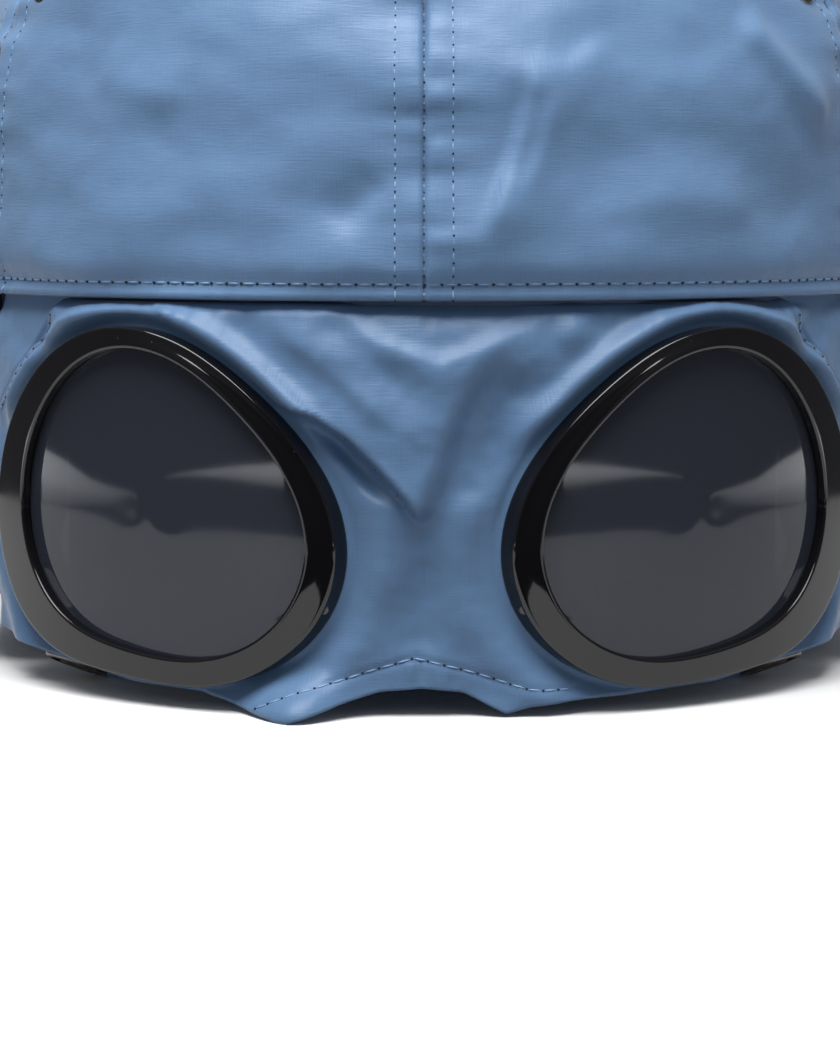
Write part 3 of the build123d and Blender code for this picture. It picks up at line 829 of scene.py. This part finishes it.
def makeFlaps():
    front, rear = flapEdges()
    for side, name in ((-1, "right"), (1, "left")):
        def spot(azimuth, z, radius, lift=0.0, side=side):
            bottom = flapBottom(azimuth, front, rear)
            relief = softRelief(azimuth, z, 20 + side, cap["foldZ"], bottom)
            relief -= 0.3 * bell(z - bottom - flap["stitchInset"], 0.6)
            return onCap(side * azimuth, radius + relief + lift, z)

        def place(across, up, radius, lift=0.0, inset=0.0, spot=spot, side=side):
            azimuth = front + inset + (rear - front - 2 * inset) * across
            bottom = flapBottom(azimuth, front, rear) + inset
            z = bottom + (cap["foldZ"] - bottom) * up
            return spot(azimuth, z, radius, lift), (side * radians(azimuth) * 94.5, z), (azimuth, z)

        outer = clothGrid(name + "_flap_cloth", flap["columns"], flap["rows"],
                          lambda a, b, p=place: p(a, b, cap["hungRadius"]), "shell", 0.6)
        inner = clothGrid(name + "_flap_lining", 50, 34,
                          lambda a, b, p=place: p(a, b, cap["liningRadius"], -0.1, 0.3),
                          "inner", 0.4)
        for piece, node in ((outer, "outer"), (inner, "lining")):
            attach(piece, name + "_ear_flap")
            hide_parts(name + "_ear_flap_" + node)
        row = []
        for i in range(241):
            azimuth = front + 2 + (rear - front - 4) * i / 240
            z = flapBottom(azimuth, front + 1.9, rear - 1.9) + flap["stitchInset"]
            row.append(spot(azimuth, z, cap["hungRadius"], 0.05))
        stitchPiece(name + "_flap_stitches", [row], 2.8, 2.3, 0.42, name + "_ear_flap")
    print("ear flaps made")


def makeNape():
    start = degrees(asin(low("nape_band", 1) / cap["hungRadius"])) + 90
    top = cap["hemZ"]

    def spot(azimuth, z, radius, lift=0.0):
        relief = softRelief(azimuth, z, 40, top, 0.0)
        strapped = bell(z - 30, 14) * smooth((50 - abs(azimuth - 180)) / 4)
        relief = min(relief, 1.8 - 1.6 * strapped) - 0.3 * bell(z - flap["stitchInset"], 0.6)
        return onCap(azimuth, radius + relief + lift, z)

    def place(radius, low, high, lift=0.0):
        def inner(across, up):
            azimuth = start + (360 - 2 * start) * across
            z = low + (high - low) * up
            return spot(azimuth, z, radius, lift), (radians(azimuth) * 94.5, z), (azimuth, z)
        return inner

    band = clothGrid("nape_cloth", 170, 64, place(cap["hungRadius"], 0.0, top + 1.4),
                     "shell", 0.6)
    lining = clothGrid("nape_lining_cloth", 90, 34, place(cap["liningRadius"], 0.5, top, -0.1),
                       "inner", 0.4)
    for piece, node in ((band, "nape_band"), (lining, "nape_lining")):
        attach(piece, "crown")
        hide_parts(node)
    rows = [[spot(start + 1 + (358 - 2 * start) * i / 400, flap["stitchInset"], cap["hungRadius"], 0.05)
             for i in range(401)]]
    for azimuth in (start + 2, 358 - start):
        rows.append([spot(azimuth, 5 + 64 * i / 120, cap["hungRadius"], 0.05) for i in range(121)])
    stitchPiece("nape_stitches", rows, 2.8, 2.3, 0.42, "crown")
    print("nape made")


strap = {"angle": 46.0, "height": 30.0, "width": 20.0, "thickness": 1.2, "standoff": 2.5, "endArc": 6.0}


def makeStrap():
    base = cap["hungRadius"] + strap["standoff"] + strap["thickness"]

    def place(across, up):
        azimuth = 180 + strap["angle"] * (2 * across - 1)
        end = (strap["angle"] - abs(azimuth - 180)) / strap["endArc"]
        radius = base - (strap["standoff"] - 0.5) * (1 - smooth(end * 1.2))
        radius += 0.05 * wavy(azimuth / 2, up * 3)
        z = strap["height"] + strap["width"] * (up - 0.5)
        edge = 0.25 * bell(abs(up - 0.5) - 0.5, 0.06)
        return onCap(azimuth, radius - edge, z), (radians(azimuth) * 95, z), (azimuth, z)

    piece = clothGrid("nape_webbing", 150, 20, place, "webbing", strap["thickness"])
    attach(piece, "crown")
    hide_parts("nape_strap")
    rows = []
    for side in (-1, 1):
        inner, outer = 180 + side * (strap["angle"] - 3.2), 180 + side * (strap["angle"] - 0.7)
        box = [(inner, -8), (outer, -8), (outer, 8), (inner, 8), (inner, -8), (outer, 8)]
        for a, b in zip(box, box[1:]):
            rows.append([onCap(a[0] + (b[0] - a[0]) * i / 20, base - strap["standoff"] + 0.75,
                               strap["height"] + a[1] + (b[1] - a[1]) * i / 20) for i in range(21)])
    stitchPiece("webbing_stitches", rows, 2.2, 1.8, 0.4, "crown")


def makeTapes():
    for index, seam in enumerate(cap["seams"]):
        def place(across, up, seam=seam):
            rise = 6 + (domeLength - 26) * up
            radius, height, out, slope = domeAt(rise)
            azimuth = seam + degrees(5.6 * (2 * across - 1) / radius)
            relief = -1.35 + min(crownRelief(azimuth, rise, radius), 0.0)
            spot = onCap(azimuth, radius + out * relief, height + slope * relief)
            return spot, (5.6 * across, rise), (azimuth, rise)

        tape = clothGrid("seam_tape_cloth_" + str(index + 1), 8, 70, place, "inner", 0.25)
        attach(tape, "crown")
        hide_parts("seam_tapes")


def makeInside():
    last = domeLength - 2.0

    def lining(across, up):
        azimuth, rise = -180 + 360 * across, 2 + (last - 2) * up
        radius, height, out, slope = domeAt(rise)
        spot = onCap(azimuth, radius, 0) / mm
        crease = 0.9 * wavy(spot.x / 18, spot.y / 18, rise / 18)
        relief = -2.1 - abs(crease + 0.3 * wavy(spot.x / 6, spot.y / 6, rise / 6))
        return (onCap(azimuth, max(radius + out * relief, 0.2), height + slope * relief),
                (radians(azimuth) * 95, rise), (azimuth, rise))

    def band(across, up):
        azimuth, rise = -180 + 360 * across, 0.6 + 27.6 * up
        radius, height, out, slope = domeAt(rise)
        bulge = 0.5 * bell(up - 0.5, 0.42) + 0.15 * wavy(azimuth / 1.5, rise / 8)
        relief = -3.3 + 0.9 * (1 - bell(up - 0.5, 0.5)) - bulge
        return (onCap(azimuth, radius + out * relief, height + slope * relief),
                (radians(azimuth) * 95, rise), (azimuth, rise))

    inner = clothGrid("crown_lining_cloth", 180, 90, lining, "inner", 0.3)
    jersey = clothGrid("sweatband_jersey", 260, 22, band, "jersey", 0.8)
    for piece, node in ((inner, "crown_lining"), (jersey, "sweatband")):
        bm = bmesh.new()
        bm.from_mesh(piece.data)
        bmesh.ops.remove_doubles(bm, verts=bm.verts[:], dist=2e-5)
        bm.to_mesh(piece.data)
        bm.free()
        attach(piece, "crown")
        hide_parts(node)
    print("inside made")


button = {"radius": 7.0, "rise": 4.0}


def makeButton():
    bm = bmesh.new()
    steps = 14
    for i in range(steps + 1):
        turn = pi / 2 * i / steps
        height = cap["apexZ"] + button["rise"] * sin(turn)
        bm.verts.new((button["radius"] * cos(turn) ** 0.7 * mm, 0, height * mm))
    bm.verts.new((button["radius"] * 0.8 * mm, 0, (cap["apexZ"] - 0.3) * mm))
    bm.verts.ensure_lookup_table()
    order = [steps + 1] + list(range(steps + 1))
    for a, b in zip(order, order[1:]):
        bm.edges.new((bm.verts[a], bm.verts[b]))
    bmesh.ops.spin(bm, geom=bm.verts[:] + bm.edges[:], cent=(0, 0, 0), axis=(0, 0, 1), dvec=(0, 0, 0),
                   angle=2 * pi, steps=48, use_merge=True, use_normal_flip=False, use_duplicate=False)
    bmesh.ops.remove_doubles(bm, verts=bm.verts[:], dist=1e-5)
    bmesh.ops.recalc_face_normals(bm, faces=bm.faces[:])
    layer = bm.loops.layers.uv.new("cloth")
    for face in bm.faces:
        for loop in face.loops:
            loop[layer].uv = (loop.vert.co.x / mm, loop.vert.co.y / mm)
    for vert in bm.verts:
        turn = atan2(vert.co.y, vert.co.x)
        edge = smooth(1 - (vert.co.z / mm - cap["apexZ"]) / button["rise"])
        vert.co += Vector((cos(turn), sin(turn), 0)) * 0.18 * mm * wavy(turn * 6, 5) * edge
    piece = finishPiece(bm, "button_cloth", "shell")
    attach(piece, "crown")
    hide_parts("top_button")


def finishNodes():  # finishes for the frame's own parts
    plan = {"vent_eyelets": "gunmetal", "vent_eyelet_washers": "steel",
            "top_button_shank": "steel", "nape_slider": "ring"}
    for side in ("left_", "right_"):
        plan.update({side + "gasket": "foam", side + "back_ring": "ring", side + "rim_screws": "steel",
                     side + "snap_cap": "gunmetal", side + "snap_socket": "gunmetal"})
    for node, finish in plan.items():
        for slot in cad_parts[node].material_slots:
            slot.material = finishes[finish]


# stage
stage = {
    "eye": (-0.0007, -0.545, 0.088),
    "pitch": 6.81,
    "lens": 88.7,
    "tableEdge": 340,        # where the lit table ends, in millimetres from the cap's axis
    "tableSpread": 0.5,      # and how much farther it is for each degree to the side
    "wallHeight": 420,
    "cardSize": 0.17,
    "cardY": -0.26,
}


def glowMaterial(name, colour, strength):
    material = bpy.data.materials.new(name)
    material.use_nodes = True
    tree = material.node_tree
    tree.nodes.clear()
    light = addNode(tree, "ShaderNodeEmission", Color=(*colour, 1))
    shade = addNode(tree, "ShaderNodeAttribute", attribute_name="shade")
    level = addNode(tree, "ShaderNodeMath", operation="MULTIPLY")
    level.inputs[1].default_value = strength
    tree.links.new(shade.outputs["Fac"], level.inputs[0])
    tree.links.new(level.outputs[0], light.inputs["Strength"])
    out = tree.nodes.new("ShaderNodeOutputMaterial")
    tree.links.new(light.outputs[0], out.inputs[0])
    return material


def reflectionPanel(name, columns, rows, place, colour, strength):  # shows in reflections only
    bm = bmesh.new()
    bmesh.ops.create_grid(bm, x_segments=columns, y_segments=rows, size=0.5)
    shade = bm.loops.layers.float_color.new("shade")
    shares = {vert: (vert.co.x + 0.5, vert.co.y + 0.5) for vert in bm.verts}
    for face in bm.faces:
        for loop in face.loops:
            glow = place(*shares[loop.vert])[1]
            loop[shade] = (glow, glow, glow, 1)
    for vert, share in shares.items():
        vert.co = place(*share)[0]
    panel = linkMesh(bm, name, glowMaterial(name, colour, strength))
    for kind in ("camera", "diffuse", "shadow", "transmission", "volume_scatter"):
        setattr(panel, "visible_" + kind, False)


def reflectionWall(name, halfSpan, nearer, colour, strength):  # stands along the lit table's edge
    def place(across, up):
        azimuth = halfSpan * (2 * across - 1)
        reach = stage["tableEdge"] + stage["tableSpread"] * abs(azimuth) - nearer
        return onCap(azimuth, reach, stage["wallHeight"] * up), 1.0

    reflectionPanel(name, 24, 1, place, colour, strength)


def reflectionSheet(name, side, azimuths, tops, bottoms, strength):  # a bright sheet with a curved outline
    last = len(azimuths) - 1

    def along(values, share):
        index = min(int(share * last), last - 1)
        return values[index] + (values[index + 1] - values[index]) * (share * last - index)

    def place(across, up):
        azimuth, top, bottom = along(azimuths, across), along(tops, across), along(bottoms, across)
        reach = stage["tableEdge"] + stage["tableSpread"] * azimuth - 8
        level = (1 - 0.55 * across) * (0.35 + 0.65 * smooth(up * 1.6))
        return onCap(side * azimuth, reach, bottom + (top - bottom) * up), level

    reflectionPanel(name, 30, 4, place, (0.93, 0.96, 1.0), strength)


def darkCardPlace(across, up):  # lies on the table before the cap
    size = stage["cardSize"]
    return Vector(((across - 0.5) * size, stage["cardY"] + (up - 0.5) * size, 0.0015)), 1.0


def areaLight(name, place, target, size, power):
    data = bpy.data.lights.new(name, "AREA")
    data.shape, data.size, data.size_y, data.energy = "RECTANGLE", size[0], size[1], power
    light = bpy.data.objects.new(name, data)
    light.location = place
    light.rotation_euler = (Vector(target) - Vector(place)).to_track_quat("-Z", "Y").to_euler()
    bpy.context.scene.collection.objects.link(light)


def makeStage():
    scene = bpy.context.scene
    scene.view_settings.view_transform = "Standard"
    eye = bpy.data.objects.new("camera", bpy.data.cameras.new("camera"))
    eye.data.lens, eye.data.sensor_width, eye.data.clip_start = stage["lens"], 36.0, 0.01
    eye.location = stage["eye"]
    eye.rotation_euler = (radians(90 - stage["pitch"]), 0, 0)
    scene.collection.objects.link(eye)
    scene.camera = eye
    bm = bmesh.new()
    bmesh.ops.create_grid(bm, x_segments=1, y_segments=1, size=3.0)
    white, tree, shader = newMaterial("whiteTable")
    setInputs(shader, {"Base Color": (0.9, 0.9, 0.9, 1), "Roughness": 0.6})
    table = linkMesh(bm, "table", white)
    table.visible_diffuse = False
    world = bpy.data.worlds.new("studio")
    scene.world = world
    world.use_nodes = True
    setInputs(world.node_tree.nodes["Background"], {"Color": (0.93, 0.96, 1.0, 1), "Strength": 0.33})
    areaLight("overhead", (-0.09, -0.38, 0.92), (0, -0.03, 0.05), (0.8, 0.6), 14.0)
    reflectionWall("darkRoom", 118, 0, (0.95, 0.98, 1.1), 0.13)
    reflectionWall("darkMiddle", 22, 4, (1.0, 1.0, 1.0), 0.0)
    for side in (-1, 1):
        reflectionSheet("noseWedge" + str(side), side, (28, 37, 45, 54), (21, 18.5, 15.8, 13),
                        (14, 14, 13.6, 12.7), 4.6)
        reflectionSheet("templeWedge" + str(side), side, (91, 83, 75, 62), (17.5, 14.5, 9.5, 5),
                        (0.8, 1.3, 2.6, 4.4), 3.3)
    reflectionPanel("darkCard", 1, 1, darkCardPlace, (0, 0, 0), 0.0)
    print("stage made")


makeStage()
makeCrown()
makeMask()
makeFoldStrips()
makeSnapTabs()
makeGussets()
makeTapes()
makeEyepieces()
makeFlaps()
makeNape()
makeStrap()
makeInside()
makeButton()
finishNodes()
